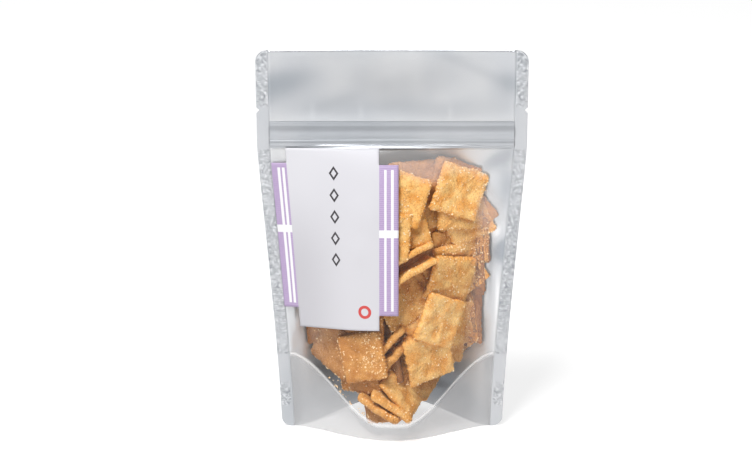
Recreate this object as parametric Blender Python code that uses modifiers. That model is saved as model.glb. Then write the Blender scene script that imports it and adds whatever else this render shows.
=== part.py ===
"""Stand-up zip pouch filled with small square rice crackers, with a cross-shaped paper label.

Metres, +Z up. The label faces -Y and +X is to the viewer's right. The origin is the middle of the
footprint, on the surface that the pouch stands on.

The pouch is one filled solid. Its front and back films share one formula, written for a film laid
flat: s is the way across from the middle and h is the way up from the bottom rim.
"""
import math

import bmesh
import bpy
import numpy as np

# The pouch as it is cut and sealed
HEIGHT = 0.208
HALF_WIDTH = 0.0702            # from the middle to the cut edge at the header
SIDE_SEAL = 0.0065             # strip down each side where the two films are welded
FILM = 0.0008                  # both films together where they lie flat
CORNER = 0.005                 # radius of the two bottom corners
TOP_CORNER = 0.006             # radius of the two top corners
HEADER_BOW = 0.0024            # how far the middle of the open top edge bows back
GUSSET_FOLD = 0.042            # how far up the bottom film is folded in

# The bottom weld that ties the gusset to the front and back films, as heights on the flat film
WELD_LOW = 0.0085
WELD_HIGH = 0.042
WELD_START = 0.008             # distance from the middle where the weld starts to climb
WELD_END = 0.060               # distance from the middle where it reaches the side seals
SKIRT = 0.0008                 # thickness of the welded skirt below that line

# The shape that the filling gives
HALF_BASE = 0.0598             # half width at the bottom corners
RIM_LIFT = 0.0044              # height of the rims' middles above the corners
BELLY = 0.6025                 # drawn-in width against depth, from the film keeping its length
LOBE = 1.8                     # how soon the film flattens towards the side seals
GUSSET_HANG = 0.66             # how far the gusset's spare film lets it hang

# The press zip
ZIP_FOOT = 0.158
ZIP_TOP = 0.1705
ZIP_BACKING = 0.0003           # how far the zip's flat strips stand out
ZIP_RIB = 0.0006               # how far its ribs stand out beyond the strips
ZIP_RIBS = (0.1595, 0.1650)
ZIP_RIB_HALF = 0.0013

# The tear notches at the ends of the header
NOTCH_HEIGHT = 0.1765
NOTCH_DEPTH = 0.0016

# The crackers that press on the front film: (s, h, turn in degrees) of each middle
CRACKER = 0.025
PRESS = 0.0009                 # how far a cracker pushes the film out
PRESS_EDGE = 0.0035            # width of the slope round each one
FRONT_CRACKERS = (
    (0.036, 0.133, -15), (0.041, 0.094, 10), (0.030, 0.063, -15),
    (0.026, 0.040, 18), (0.003, 0.024, -32), (-0.015, 0.043, 12),
)
BACK_PITCH = 0.026
BACK_ROWS = 5
BACK_FOOT = 0.026              # height of the lowest row's middles
BACK_SEED = 5

# The label, laid flat on the front film: one piece of paper with a tab on each side
PANEL_LEFT = -0.0554
PANEL_RIGHT = -0.0066
PANEL_TOP = 0.1565
PANEL_FOOT_LEFT = 0.0582
PANEL_FOOT_RIGHT = 0.0608
TAB_LEFT = -0.0634
TAB_RIGHT = 0.0034
TAB_TOP = 0.1485
TAB_FOOT = 0.0690
PAPER = 0.0005
PAPER_GAP = 0.00035            # clear of the film below

# How finely the surfaces are cut
COLUMNS = 28
ROW_PITCH = 0.0055
PAPER_PITCH = 0.0055
CUT_REACH = 0.9                # the hollow below the gusset ends at this share of the half width


def smooth(u):
    """A ramp from 0 to 1 with level ends."""
    u = np.clip(u, 0.0, 1.0)
    return u * u * (3.0 - 2.0 * u)


def half_width(h):
    """Half the pouch's width: full from the zip up, drawn in below it as the filling opens it."""
    opened = (1.0 - np.clip(h / ZIP_FOOT, 0.0, 1.0) ** 1.4) ** 1.15
    return HALF_WIDTH - (HALF_WIDTH - HALF_BASE) * opened


def inner_half(h):
    """Half the width between the side seals."""
    return half_width(h) - SIDE_SEAL


def bulge(h):
    """How far the film stands out at its middle: what the film loses in width goes into depth."""
    a = inner_half(h)
    return np.sqrt(np.maximum((HALF_WIDTH - SIDE_SEAL - a) * a / BELLY, 0.0))


def lobe(t):
    """The film's shape across: 1 at the middle, 0 at the side seals and beyond them."""
    return np.maximum(1.0 - t * t, 0.0) ** LOBE


def lift(h):
    """How far the film's middle rides above its ends: most at the rim, nothing at the zip."""
    return RIM_LIFT * (1.0 - np.clip(h / 0.165, 0.0, 1.0) ** 2.5)


def film_lengths(t, h):
    """Way across the film from its middle to each share t of the half width, at the height h."""
    fine = np.linspace(0.0, 1.0, 161)
    slope = -2.0 * LOBE * fine * np.maximum(1.0 - fine * fine, 0.0) ** (LOBE - 1.0)
    step = np.hypot(inner_half(h), bulge(h) * slope)
    length = np.concatenate(([0.0], np.cumsum((step[1:] + step[:-1]) / 2.0) * fine[1]))
    return np.sign(t) * np.interp(np.abs(t), fine, length), length[-1]


def across(s, h):
    """Share of the half width at the distance s across the film: the inverse of film_lengths."""
    fine = np.linspace(0.0, 1.0, 161)
    length, _ = film_lengths(fine, h)
    return np.sign(s) * np.interp(np.abs(s), length, fine)


def pressed(s, h, crackers):
    """Outward push of the crackers behind the film: a plateau for each, with sloping sides."""
    push = np.zeros_like(s)
    for centre_s, centre_h, turn in crackers:
        c, d = math.cos(math.radians(turn)), math.sin(math.radians(turn))
        along = np.abs((s - centre_s) * c + (h - centre_h) * d)
        up = np.abs((h - centre_h) * c - (s - centre_s) * d)
        inside = CRACKER / 2.0 - np.maximum(along, up)
        push = np.maximum(push, PRESS * smooth(0.5 + inside / PRESS_EDGE))
    return push


def back_crackers():
    """Staggered rows of crackers against the back film, each turned its own way."""
    draw = np.random.default_rng(BACK_SEED)
    places = []
    for row in range(BACK_ROWS):
        count = 3 + row % 2
        for col in range(count):
            s = (col - (count - 1) / 2.0) * BACK_PITCH
            h = BACK_FOOT + row * BACK_PITCH
            places.append((s, h, draw.uniform(-35.0, 35.0)))
    return places


def zip_stand(h):
    """How far the press zip stands out of the flat header: a flat strip with two ribs."""
    strip = smooth((h - ZIP_FOOT) / 0.0008) * smooth((ZIP_TOP - h) / 0.0008)
    ribs = sum(np.maximum(1.0 - ((h - rib) / ZIP_RIB_HALF) ** 2, 0.0) for rib in ZIP_RIBS)
    return ZIP_BACKING * strip + ZIP_RIB * ribs


def corner_cut(depth, radius):
    """How far a round corner takes the side edge in, at a depth below the corner's start."""
    return radius - np.sqrt(np.maximum(radius ** 2 - np.clip(depth, 0.0, radius) ** 2, 0.0))


def film_points(t, h, side, crackers):
    """Outer face of one film. t beyond 1 runs out over the side seal, where 2 is the cut edge."""
    share = np.clip(np.abs(t), 0.0, 1.0)
    out = np.clip(np.abs(t) - 1.0, 0.0, 1.0)
    rounding = corner_cut(CORNER - h, CORNER) + corner_cut(h - HEIGHT + TOP_CORNER, TOP_CORNER)
    x = np.sign(t) * (inner_half(h) * share + (SIDE_SEAL - rounding) * out)
    s = np.sign(t) * np.array([film_lengths(share[i], h[i, 0])[0] for i in range(len(h))])
    seal = smooth((1.0 - share) / 0.08)
    stand = FILM / 2.0 + zip_stand(h) * seal + pressed(s, h, crackers) * seal * (h < ZIP_FOOT)
    bow = HEADER_BOW * smooth((h - ZIP_TOP) / (HEIGHT - ZIP_TOP)) * (1.0 - (x / HALF_WIDTH) ** 2)
    y = side * (bulge(h) * lobe(t) + stand) + bow
    return np.stack((x, y, h + lift(h) * lobe(t)), axis=-1)


def film_rows():
    """Heights of the rows, top to bottom: close at the zip, below it, and at the corners."""
    bends = (0.0, 22.5, 45.0, 67.5, 90.0)
    header = [HEIGHT - TOP_CORNER * (1.0 - math.cos(math.radians(a))) for a in bends]
    header += [0.195, 0.187, 0.179, ZIP_TOP + 0.001]
    ribs = [rib + k * ZIP_RIB_HALF for rib in reversed(ZIP_RIBS) for k in (1, 0, -1)]
    shoulder = [ZIP_FOOT, 0.1572, 0.1560, 0.1540, 0.1515]
    count = round((0.148 - CORNER) / ROW_PITCH)
    body = list(np.linspace(0.148, CORNER, count + 1))
    corner = [CORNER * (1.0 - math.sin(math.radians(a))) for a in bends[1:]]
    return np.array(header + [ZIP_TOP - 0.001] + ribs + shoulder + body + corner)


def mesh_object(name, verts, faces, collection):
    """A mesh object with its faces turned outwards."""
    mesh = bpy.data.meshes.new(name)
    mesh.from_pydata(verts, [], faces)
    bm = bmesh.new()
    bm.from_mesh(mesh)
    bmesh.ops.recalc_face_normals(bm, faces=bm.faces)
    if bm.calc_volume(signed=True) < 0.0:
        bmesh.ops.reverse_faces(bm, faces=bm.faces)
    bm.to_mesh(mesh)
    bm.free()
    obj = bpy.data.objects.new(name, mesh)
    collection.objects.link(obj)
    return obj


def closed_loft(name, rings, side_points, collection):
    """A closed skin over rings[section, point]: quads join neighbouring sections. At the first and
    the last one a ladder of quads joins the ring's two sides, which start and end it, and one
    polygon takes the points between them."""
    sections, points = rings.shape[:2]
    faces = []
    for c in range(sections - 1):
        for k in range(points):
            n = (k + 1) % points
            faces.append((c * points + k, c * points + n, (c + 1) * points + n, (c + 1) * points + k))
    for first in (0, (sections - 1) * points):
        for k in range(side_points - 2):
            far = points - 1 - k
            faces.append((first + k, first + k + 1, first + far - 1, first + far))
        faces.append(tuple(range(first + side_points - 2, first + points - side_points + 2)))
    return mesh_object(name, rings.reshape(-1, 3).tolist(), faces, collection)


def make_pouch(collection):
    """Front film, bottom and back film as one ring for each column, lofted from side to side."""
    shares = np.sin(np.linspace(-0.5, 0.5, COLUMNS + 1) * math.pi * 0.8) / math.sin(0.4 * math.pi)
    t = np.concatenate(([-2.0, -1.5], shares, [1.5, 2.0]))
    rows, cols = np.meshgrid(film_rows(), t, indexing="ij")
    front = film_points(cols, rows, -1.0, FRONT_CRACKERS)
    back = film_points(cols, rows, 1.0, back_crackers())
    rim_x = front[-1, :, 0]
    reach = np.abs(front[-1, :, 1])
    rim_z = front[-1, :, 2]
    floor = [np.stack((rim_x, reach * k, rim_z * up), axis=-1)
             for k, up in ((-0.97, 1.0), (-0.45, 0.0), (0.45, 0.0), (0.97, 1.0))]
    rings = np.concatenate((front, np.array(floor), back[::-1])).transpose(1, 0, 2)
    pouch = closed_loft("pouch", rings, len(front), collection)
    pouch.data.shade_smooth()
    pouch.data.set_sharp_from_angle(angle=math.radians(35.0))
    return pouch


def weld_height(s):
    """The bottom weld's line: level at the middle, then climbing to the side seals."""
    u = np.clip((np.abs(s) - WELD_START) / (WELD_END - WELD_START), 0.0, 1.0)
    return WELD_LOW + (WELD_HIGH - WELD_LOW) * (u + smooth(u)) / 2.0


def make_gusset_cutter(collection):
    """The hollow below the gusset: inside the skirts, up to the film hanging between the welds."""
    rings = []
    for t in np.linspace(-CUT_REACH, CUT_REACH, 23):
        s, _ = film_lengths(t, 0.020)
        top = float(weld_height(s))
        heights = np.linspace(0.0, top, 7)
        x = inner_half(heights) * t
        y = bulge(heights) * lobe(t) + FILM / 2.0 - SKIRT
        z = heights + lift(heights) * lobe(t)
        wall = np.stack((x, y, z), axis=-1)
        below = np.array([[x[0], y[0], -0.004]])
        span = 2.0 * y[-1]
        spare = max(2.0 * (GUSSET_FOLD - top) - span, 0.0)
        hang = GUSSET_HANG * math.sqrt(span * spare)
        v = np.array([-0.86, -0.7, -0.5, -0.25, 0.25, 0.5, 0.7, 0.86])
        film = np.stack((np.full(8, x[-1]), v * y[-1], z[-1] - hang * (1.0 - np.abs(v) ** 3)), axis=-1)
        front = np.concatenate((below, wall)) * (1.0, -1.0, 1.0)
        back = np.concatenate((below, wall))[::-1]
        rings.append(np.concatenate((front, film, back)))
    return closed_loft("gusset_cutter", np.array(rings), len(front), collection)


def make_notch_cutter(name, side, collection):
    """A three-sided bar whose point makes the tear notch at one end of the header."""
    bpy.ops.mesh.primitive_cylinder_add(vertices=3, radius=2.0 * NOTCH_DEPTH, depth=0.01)
    bar = bpy.context.object
    bar.name = name
    for other in list(bar.users_collection):
        other.objects.unlink(bar)
    collection.objects.link(bar)
    bar.rotation_euler = (math.radians(90.0), math.radians(-90.0 * side), 0.0)
    bar.location = (side * (HALF_WIDTH + NOTCH_DEPTH), 0.0, NOTCH_HEIGHT)
    return bar


def cut(target, cutter):
    """Take the cutter's shape out of the target."""
    cutter.hide_render = True
    cutter.display_type = "WIRE"
    modifier = target.modifiers.new(cutter.name, "BOOLEAN")
    modifier.operation = "DIFFERENCE"
    modifier.solver = "EXACT"
    modifier.object = cutter


def steps_between(stops, pitch):
    """Values from the first stop to the last, through every stop, about one pitch apart."""
    values = [stops[0]]
    for low, high in zip(stops, stops[1:]):
        count = max(1, round((high - low) / pitch))
        values += list(low + (high - low) * np.arange(1, count + 1) / count)
    return np.array(values)


def make_label(collection):
    """Paper laid along the front film: a panel with a shorter tab each side, thickened outwards."""
    across_stops = steps_between((TAB_LEFT, PANEL_LEFT, PANEL_RIGHT, TAB_RIGHT), PAPER_PITCH)
    up_stops = steps_between((PANEL_FOOT_LEFT, TAB_FOOT, TAB_TOP, 0.1540, PANEL_TOP), PAPER_PITCH)
    s, h = np.meshgrid(across_stops, up_stops, indexing="ij")
    slope = (PANEL_FOOT_RIGHT - PANEL_FOOT_LEFT) * (s - PANEL_LEFT) / (PANEL_RIGHT - PANEL_LEFT)
    h = h + slope * np.clip((TAB_FOOT - h) / (TAB_FOOT - PANEL_FOOT_LEFT), 0.0, 1.0)
    t = np.array([[across(a, b) for a, b in zip(*line)] for line in zip(s, h)])
    points = film_points(t.T, up_stops[:, None] + 0.0 * t.T, -1.0, ()).transpose(1, 0, 2)
    points[..., 2] += h - up_stops
    verts = points.reshape(-1, 3)
    in_panel = (across_stops[:-1] > PANEL_LEFT - 1e-6) & (across_stops[1:] < PANEL_RIGHT + 1e-6)
    in_tabs = (up_stops[:-1] > TAB_FOOT - 1e-6) & (up_stops[1:] < TAB_TOP + 1e-6)
    rows = len(up_stops)
    faces = [(i * rows + j, (i + 1) * rows + j, (i + 1) * rows + j + 1, i * rows + j + 1)
             for i in range(len(across_stops) - 1) for j in range(rows - 1)
             if in_panel[i] or in_tabs[j]]
    mesh = bpy.data.meshes.new("label")
    mesh.from_pydata(verts.tolist(), [], faces)
    bm = bmesh.new()
    bm.from_mesh(mesh)
    bmesh.ops.delete(bm, geom=[v for v in bm.verts if not v.link_faces], context="VERTS")
    bm.normal_update()
    for vert in bm.verts:
        vert.co += vert.normal * PAPER_GAP
    bm.to_mesh(mesh)
    bm.free()
    label = bpy.data.objects.new("label", mesh)
    collection.objects.link(label)
    solidify = label.modifiers.new("Thickness", "SOLIDIFY")
    solidify.thickness = PAPER
    solidify.offset = 1.0
    return label


def material(name, color, roughness, metallic):
    """A plain Principled material."""
    mat = bpy.data.materials.new(name)
    mat.use_nodes = True
    shader = mat.node_tree.nodes["Principled BSDF"]
    shader.inputs["Base Color"].default_value = (*color, 1.0)
    shader.inputs["Roughness"].default_value = roughness
    shader.inputs["Metallic"].default_value = metallic
    return mat


for old in list(bpy.data.objects):
    bpy.data.objects.remove(old, do_unlink=True)

parts = bpy.data.collections.new("rice_cracker_pouch")
cutters = bpy.data.collections.new("cutters")
bpy.context.scene.collection.children.link(parts)
bpy.context.scene.collection.children.link(cutters)

pouch = make_pouch(parts)
cut(pouch, make_gusset_cutter(cutters))
for side_name, side in (("left", -1.0), ("right", 1.0)):
    cut(pouch, make_notch_cutter("notch_" + side_name, side, cutters))
pouch.data.materials.append(material("film", (0.62, 0.55, 0.50), 0.25, 0.0))

label = make_label(parts)
label.data.materials.append(material("paper", (0.78, 0.76, 0.80), 0.55, 0.0))
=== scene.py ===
"""Looks for the stand-up zip pouch of small square rice crackers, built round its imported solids.

Metres, +Z up, and the label faces -Y. A film is worked out as it was laid flat: t is the share of the
way from the middle to the side seal, s is that way in metres, and h is the height above the rim.
"""

import math

import bpy
import numpy as np
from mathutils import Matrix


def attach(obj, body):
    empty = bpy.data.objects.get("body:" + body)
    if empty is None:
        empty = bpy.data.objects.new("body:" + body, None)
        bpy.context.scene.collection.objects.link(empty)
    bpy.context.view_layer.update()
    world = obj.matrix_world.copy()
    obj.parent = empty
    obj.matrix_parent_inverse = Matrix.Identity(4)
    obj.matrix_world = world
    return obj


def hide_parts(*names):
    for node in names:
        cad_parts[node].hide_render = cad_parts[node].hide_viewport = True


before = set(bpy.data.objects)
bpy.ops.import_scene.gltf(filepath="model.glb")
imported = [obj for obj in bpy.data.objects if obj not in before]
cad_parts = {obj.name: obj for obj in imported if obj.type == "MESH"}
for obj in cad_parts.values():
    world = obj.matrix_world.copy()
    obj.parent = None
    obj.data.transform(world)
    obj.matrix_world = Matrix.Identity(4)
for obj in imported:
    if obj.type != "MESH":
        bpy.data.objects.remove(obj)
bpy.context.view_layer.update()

# Studio: a plain white lit floor under an even white sky, one broad softbox above and in front,
# and a long lens a little above the pouch, which stands right of the picture's middle.
scene = bpy.context.scene
scene.view_settings.view_transform = "Standard"
CAMERA_FAR = 1.1
CAMERA_UP = math.radians(18.5)
AIM_HEIGHT = 0.104
SHIFT_LEFT = 16.0 / 752.0  # of the frame, as a share of the picture's width
SHIFT_UP = 5.5 / 752.0
FLOOR_HALF = 3.0
FLOOR_LEVEL = -0.0002


def node(tree, kind, sockets=None, **settings):
    """One shader node. A socket is named or numbered, and takes another node's output, a number, a
    vector, or a colour's red, green and blue."""
    made = tree.nodes.new(kind)
    for name, value in settings.items():
        setattr(made, name, value)
    for name, value in (sockets or {}).items():
        socket = made.inputs[name]
        if isinstance(value, bpy.types.NodeSocket):
            tree.links.new(value, socket)
        else:
            socket.default_value = (*value, 1.0) if socket.type == "RGBA" else value
    return made


def new_material(name):
    """An empty material with its output node."""
    mat = bpy.data.materials.new(name)
    mat.use_nodes = True
    mat.node_tree.nodes.clear()
    return mat, mat.node_tree, mat.node_tree.nodes.new("ShaderNodeOutputMaterial")


def calc(tree, operation, first, second=0.5, clamp=False):
    """One sum on values: the output of a Math node."""
    return node(tree, "ShaderNodeMath", {0: first, 1: second}, operation=operation, use_clamp=clamp).outputs[0]


def product(tree, first, *others):
    """Values multiplied together."""
    for other in others:
        first = calc(tree, "MULTIPLY", first, other)
    return first


def mixed(tree, factor, first, second):
    """A colour part of the way from the first to the second."""
    made = node(tree, "ShaderNodeMix", {0: factor, 6: first, 7: second}, data_type="RGBA")
    return made.outputs[2]


def spread(tree, value, low, high, new_low=0.0, new_high=1.0):
    """A value's range from low to high stretched to a new range, with soft ends."""
    sockets = {0: value, 1: low, 2: high, 3: new_low, 4: new_high}
    return node(tree, "ShaderNodeMapRange", sockets, interpolation_type="SMOOTHSTEP").outputs[0]


def noise(tree, place, scale, detail, roughness=0.5):
    """Cloudy noise from 0 to 1."""
    sockets = {"Vector": place, "Scale": scale, "Detail": detail, "Roughness": roughness}
    return node(tree, "ShaderNodeTexNoise", sockets).outputs[0]


def object_place(tree):
    """The place on the piece."""
    return node(tree, "ShaderNodeTexCoord").outputs["Object"]


def marked(tree, name):
    """The number that mark_points keeps on a piece's points."""
    return node(tree, "ShaderNodeAttribute", attribute_name=name).outputs["Fac"]


def bumped(tree, height, strength, distance):
    """The way the surface faces once a fine relief tilts it."""
    sockets = {"Height": height, "Strength": strength, "Distance": distance}
    return node(tree, "ShaderNodeBump", sockets).outputs[0]


def covered(mat, out, sockets):
    """The material, ended in one Principled shader."""
    base = node(mat.node_tree, "ShaderNodeBsdfPrincipled", sockets)
    mat.node_tree.links.new(base.outputs[0], out.inputs[0])
    return mat


def new_piece(name, points, faces, mat):
    """A piece at the origin, flat shaded."""
    mesh = bpy.data.meshes.new(name)
    mesh.from_pydata(points.reshape(-1, 3).tolist(), [], faces)
    mesh.materials.append(mat)
    obj = bpy.data.objects.new(name, mesh)
    scene.collection.objects.link(obj)
    return obj


def sheet_mesh(name, points, mat, across_wrap=False):
    """A mesh of quads over points[up, across], facing up x across. across_wrap joins its two sides."""
    rows, cols = points.shape[:2]
    index = np.arange(rows * cols).reshape(rows, cols)
    right = np.roll(index, -1, axis=1)
    if not across_wrap:
        index, right = index[:, :-1], right[:, :-1]
    faces = np.stack((index[:-1], index[1:], right[1:], right[:-1]), axis=-1).reshape(-1, 4)
    obj = new_piece(name, points, faces.tolist(), mat)
    obj.data.shade_smooth()
    obj.data.set_sharp_from_angle(angle=math.radians(50.0))
    return obj


def mark_points(obj, name, values):
    """Keep one number for each point of the mesh, for its material to read."""
    layer = obj.data.attributes.new(name, "FLOAT", "POINT")
    layer.data.foreach_set("value", np.ascontiguousarray(values, np.float32).ravel())


def thicken(obj, thickness, offset):
    """Give a sheet its wall."""
    wall = obj.modifiers.new("wall", "SOLIDIFY")
    wall.thickness = thickness
    wall.offset = offset


def studio():
    """Floor, sky, softbox and camera."""
    mat, tree, out = new_material("floor_white")
    covered(mat, out, {
        "Base Color": (0.50, 0.50, 0.50), "Roughness": 0.9,
        "Emission Color": (1.0, 1.0, 1.0), "Emission Strength": 0.66})
    reach = np.linspace(-FLOOR_HALF, FLOOR_HALF, 9)
    x, y = np.meshgrid(reach, reach)
    floor = sheet_mesh("floor", np.stack((-x, y, np.full_like(x, FLOOR_LEVEL)), axis=-1), mat)

    world = bpy.data.worlds.new("white_sky")
    world.use_nodes = True
    tree = world.node_tree
    tree.nodes.clear()
    way = node(tree, "ShaderNodeTexCoord").outputs["Generated"]
    height = node(tree, "ShaderNodeSeparateXYZ", {0: way}).outputs[2]
    strength = spread(tree, height, -0.2, 0.7, 0.28, 0.44)
    back = node(tree, "ShaderNodeBackground", {"Color": (1.0, 1.0, 1.0), "Strength": strength})
    node(tree, "ShaderNodeOutputWorld", {"Surface": back.outputs[0]})
    scene.world = world

    softbox = bpy.data.lights.new("softbox", "AREA")
    softbox.energy = 23.5
    softbox.size = 0.55
    lamp = bpy.data.objects.new("softbox", softbox)
    lamp.location = (-0.38, -0.70, 1.35)
    lamp.rotation_euler = (math.radians(32.0), 0.0, math.radians(-28.0))
    scene.collection.objects.link(lamp)

    lens = bpy.data.cameras.new("camera")
    lens.lens = 100.0
    lens.sensor_width = 36.0
    lens.shift_x = -SHIFT_LEFT
    lens.shift_y = SHIFT_UP
    camera = bpy.data.objects.new("camera", lens)
    rise = CAMERA_FAR * math.sin(CAMERA_UP)
    camera.location = (0.0, -CAMERA_FAR * math.cos(CAMERA_UP), AIM_HEIGHT + rise)
    camera.rotation_euler = (math.radians(90.0) - CAMERA_UP, 0.0, 0.0)
    scene.collection.objects.link(camera)
    scene.camera = camera


studio()

# Back film: one sheet of satin silver laminate from the bottom rim to the open top. The filling
# has drawn its sides in and pressed soft squares into it, and it creases lightly between them.
HEIGHT = 0.208
HALF_WIDTH = 0.0702
SIDE_SEAL = 0.0065
HALF_BASE = 0.0598
RIM_LIFT = 0.0044
LIFT_END = 0.165
BELLY = 0.6025
LOBE = 1.8
HEADER_BOW = 0.0024
HEADER_WAVE = 0.00012
ZIP_FOOT = 0.158
ZIP_TOP = 0.1705
FILM_WALL = 0.00012
FILM_GAP = 0.00030  # from the middle to each film's inner face where they lie flat


def smooth(u):
    """A ramp from 0 to 1 with level ends."""
    u = np.clip(u, 0.0, 1.0)
    return u * u * (3.0 - 2.0 * u)


def half_width(h):
    """Full from the zip up, and drawn in below it as the filling opens the pouch."""
    opened = (1.0 - np.clip(h / ZIP_FOOT, 0.0, 1.0) ** 1.4) ** 1.15
    return HALF_WIDTH - (HALF_WIDTH - HALF_BASE) * opened


def inner_half(h):
    """Half the width between the side seals."""
    return half_width(h) - SIDE_SEAL


def bulge(h):
    """How far the film's middle stands out: what the film loses in width goes into depth."""
    a = inner_half(h)
    return np.sqrt(np.maximum((HALF_WIDTH - SIDE_SEAL - a) * a / BELLY, 0.0))


def lobe(t):
    """The film's shape across: 1 at the middle and 0 from the side seals on."""
    return np.maximum(1.0 - t * t, 0.0) ** LOBE


def lift(h):
    """How far the film's middle rides above its ends: most at the rim, nothing at the zip."""
    return RIM_LIFT * (1.0 - np.clip(h / LIFT_END, 0.0, 1.0) ** 2.5)


def header_bow(x, h):
    """The header's middle bows back a little, most at the open edge."""
    return HEADER_BOW * smooth((h - ZIP_TOP) / (HEIGHT - ZIP_TOP)) * (1.0 - (x / HALF_WIDTH) ** 2)


def off_seals(t, over=0.08):
    """0 at the side seals and 1 from a small share of the way in."""
    return smooth((1.0 - np.abs(t)) / over)


def flat_gap(t, h):
    """Half the gap between the two flat films: closed at the seals, and nearly so at the open edge."""
    off_edge = smooth((HEIGHT + 0.0008 - h) / 0.004)
    return FILM_GAP * (0.15 + 0.85 * off_seals(t, 0.05) * off_edge)


def film_points(t, h, side, stand):
    """A film's place: across by the half width, out by bulge times lobe and its stand, up by the lift."""
    x = inner_half(h) * t
    y = side * (bulge(h) * lobe(t) + stand) + header_bow(x, h)
    return np.stack((x, y, h + lift(h) * lobe(t)), axis=-1)


def film_depth(x, z):
    """How far the plain film stands out at x and height z: h is found by taking the lift off z."""
    h = z
    for _ in range(4):
        h = np.clip(z - lift(h) * lobe(x / inner_half(h)), 0.0, HEIGHT)
    return bulge(h) * lobe(x / inner_half(h))


def ripples(x, z, seed, count, shortest, longest):
    """A sum of sine waves, each of its own way, length and start, scaled to run from about -1 to 1."""
    draw = np.random.default_rng(seed)
    angle = draw.uniform(0.0, math.pi, count)
    pitch = np.exp(draw.uniform(math.log(shortest), math.log(longest), count))
    start = draw.uniform(0.0, 2.0 * math.pi, count)
    share = pitch / pitch.sum()
    way = x[..., None] * np.cos(angle) + z[..., None] * np.sin(angle)
    return (np.sin(way * 2.0 * math.pi / pitch + start) * share).sum(axis=-1) * 1.7


def header_waves(x, t, h):
    """Soft waves above the zip, the same for both films, so that they don't cross."""
    where = smooth((h - ZIP_TOP) / 0.006) * off_seals(t, 0.10)
    return where * HEADER_WAVE * ripples(x * 0.6, h, 23, 9, 0.018, 0.05)


def soft_squares(x, z, squares, size, edge):
    """Plateaus of height 1 with sloping sides, one for each (x, z, turn in degrees)."""
    push = np.zeros_like(x)
    for middle_x, middle_z, turn in squares:
        c, d = math.cos(math.radians(turn)), math.sin(math.radians(turn))
        along = np.abs((x - middle_x) * c + (z - middle_z) * d)
        up = np.abs((z - middle_z) * c - (x - middle_x) * d)
        push = np.maximum(push, smooth(0.5 + (size / 2.0 - np.maximum(along, up)) / edge))
    return push


def film_crinkle_group():
    """Crinkle of plastic film: broad soft waves, finer ones drawn out up and down, and a tone."""
    group = bpy.data.node_groups.new("film_crinkle", "ShaderNodeTree")
    for label, value in (("Broad", 1.0), ("Fine", 1.0)):
        socket = group.interface.new_socket(name=label, in_out="INPUT", socket_type="NodeSocketFloat")
        socket.default_value = value
    for label in ("Height", "Tone"):
        group.interface.new_socket(name=label, in_out="OUTPUT", socket_type="NodeSocketFloat")
    given = group.nodes.new("NodeGroupInput")
    place = object_place(group)
    wide = node(group, "ShaderNodeMapping", {0: place, "Scale": (30.0, 30.0, 16.0)}).outputs[0]
    tall = node(group, "ShaderNodeMapping", {0: place, "Scale": (150.0, 90.0, 40.0)}).outputs[0]
    broad = noise(group, wide, 1.0, 2.0)
    fine = noise(group, tall, 1.0, 3.0)
    height = calc(group, "ADD", product(group, broad, given.outputs[0]),
                  product(group, fine, given.outputs[1], 0.25))
    done = group.nodes.new("NodeGroupOutput")
    group.links.new(height, done.inputs[0])
    group.links.new(spread(group, broad, 0.3, 0.7), done.inputs[1])
    return group


film_crinkle = film_crinkle_group()


def crinkle(tree, broad, fine):
    """The crinkle group placed in a material: its height and its tone."""
    made = node(tree, "ShaderNodeGroup", node_tree=film_crinkle)
    made.inputs[0].default_value = broad
    made.inputs[1].default_value = fine
    return made.outputs[0], made.outputs[1]


def silver_film_material():
    """Satin silver: a metal layer under clear film, with a soft uneven tone and patches of painted reflection
    and painted shade.
    """
    mat, tree, out = new_material("silver_film")
    height, tone = crinkle(tree, 1.0, 0.35)
    painted_sheen_and_shade = marked(tree, "painted_sheen_and_shade")
    color = mixed(tree, tone, (0.57, 0.585, 0.61), (0.65, 0.655, 0.665))
    # Painted shade where the mark is below 0, and a painted reflection where it is above 0.
    color = mixed(tree, spread(tree, painted_sheen_and_shade, 0.0, -1.0), color, (0.34, 0.365, 0.40))
    color = mixed(tree, spread(tree, painted_sheen_and_shade, 0.0, 1.0), color, (0.95, 0.95, 0.955))
    return covered(mat, out, {
        "Base Color": color, "Metallic": 0.72, "Roughness": spread(tree, tone, 0.0, 1.0, 0.30, 0.38),
        "Normal": bumped(tree, height, 0.25, 0.0012), "Coat Weight": 0.2, "Coat Roughness": 0.25})


silver_film = silver_film_material()
BACK_PITCH = 0.026
BACK_SQUARE = 0.024
BACK_SLOPE = 0.008
BACK_RELIEF = 0.0008
BACK_FOLDS = 0.0005
# Painted reflections and painted shade on the silver, where it looks bright or dull: x, height, half
# length and half width in millimetres, turn in degrees, and strength, below 0 for painted shade
PAINTED_SHEEN_AND_SHADE = (
    (-60, 190, 26, 9, 14, -0.85), (0, 207.5, 90, 5, 0, -0.40), (62, 191, 11, 8, 0, -0.60),
    (40, 199, 18, 3.5, -22, -0.28), (-22, 184, 20, 3.5, 20, -0.15), (0, 177, 90, 8, 0, -0.48),
    (-1, 195, 16, 7, 30, 0.25), (31, 186, 10, 4, 30, 0.22), (-41, 175, 1.4, 5, 0, 0.18),
    (-16, 175, 1.2, 5, 0, 0.18), (30, 175, 1.3, 5, 0, 0.15), (54.5, 110, 3.5, 5, 0, 0.90),
    (57.5, 100, 4.5, 8, -12, -1.30), (56, 72, 1.6, 20, 0, 0.60), (52, 85, 1.6, 16, 0, -0.60),
    (0, 14, 90, 16, 0, -1.10), (60, 136, 6, 16, 0, -0.60), (55, 150, 13, 4.5, 35, -0.85),
    (-60, 146, 4, 12, 0, -0.40), (50, 24, 9, 16, 30, 0.90),
)


def back_squares():
    """Staggered rows of crackers that press on the back film, each turned its own way."""
    draw = np.random.default_rng(5)
    places = []
    for row in range(5):
        count = 3 + row % 2
        for col in range(count):
            x = (col - (count - 1) / 2.0) * BACK_PITCH
            places.append((x, BACK_PITCH * (1 + row), draw.uniform(-35.0, 35.0)))
    return places


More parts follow.
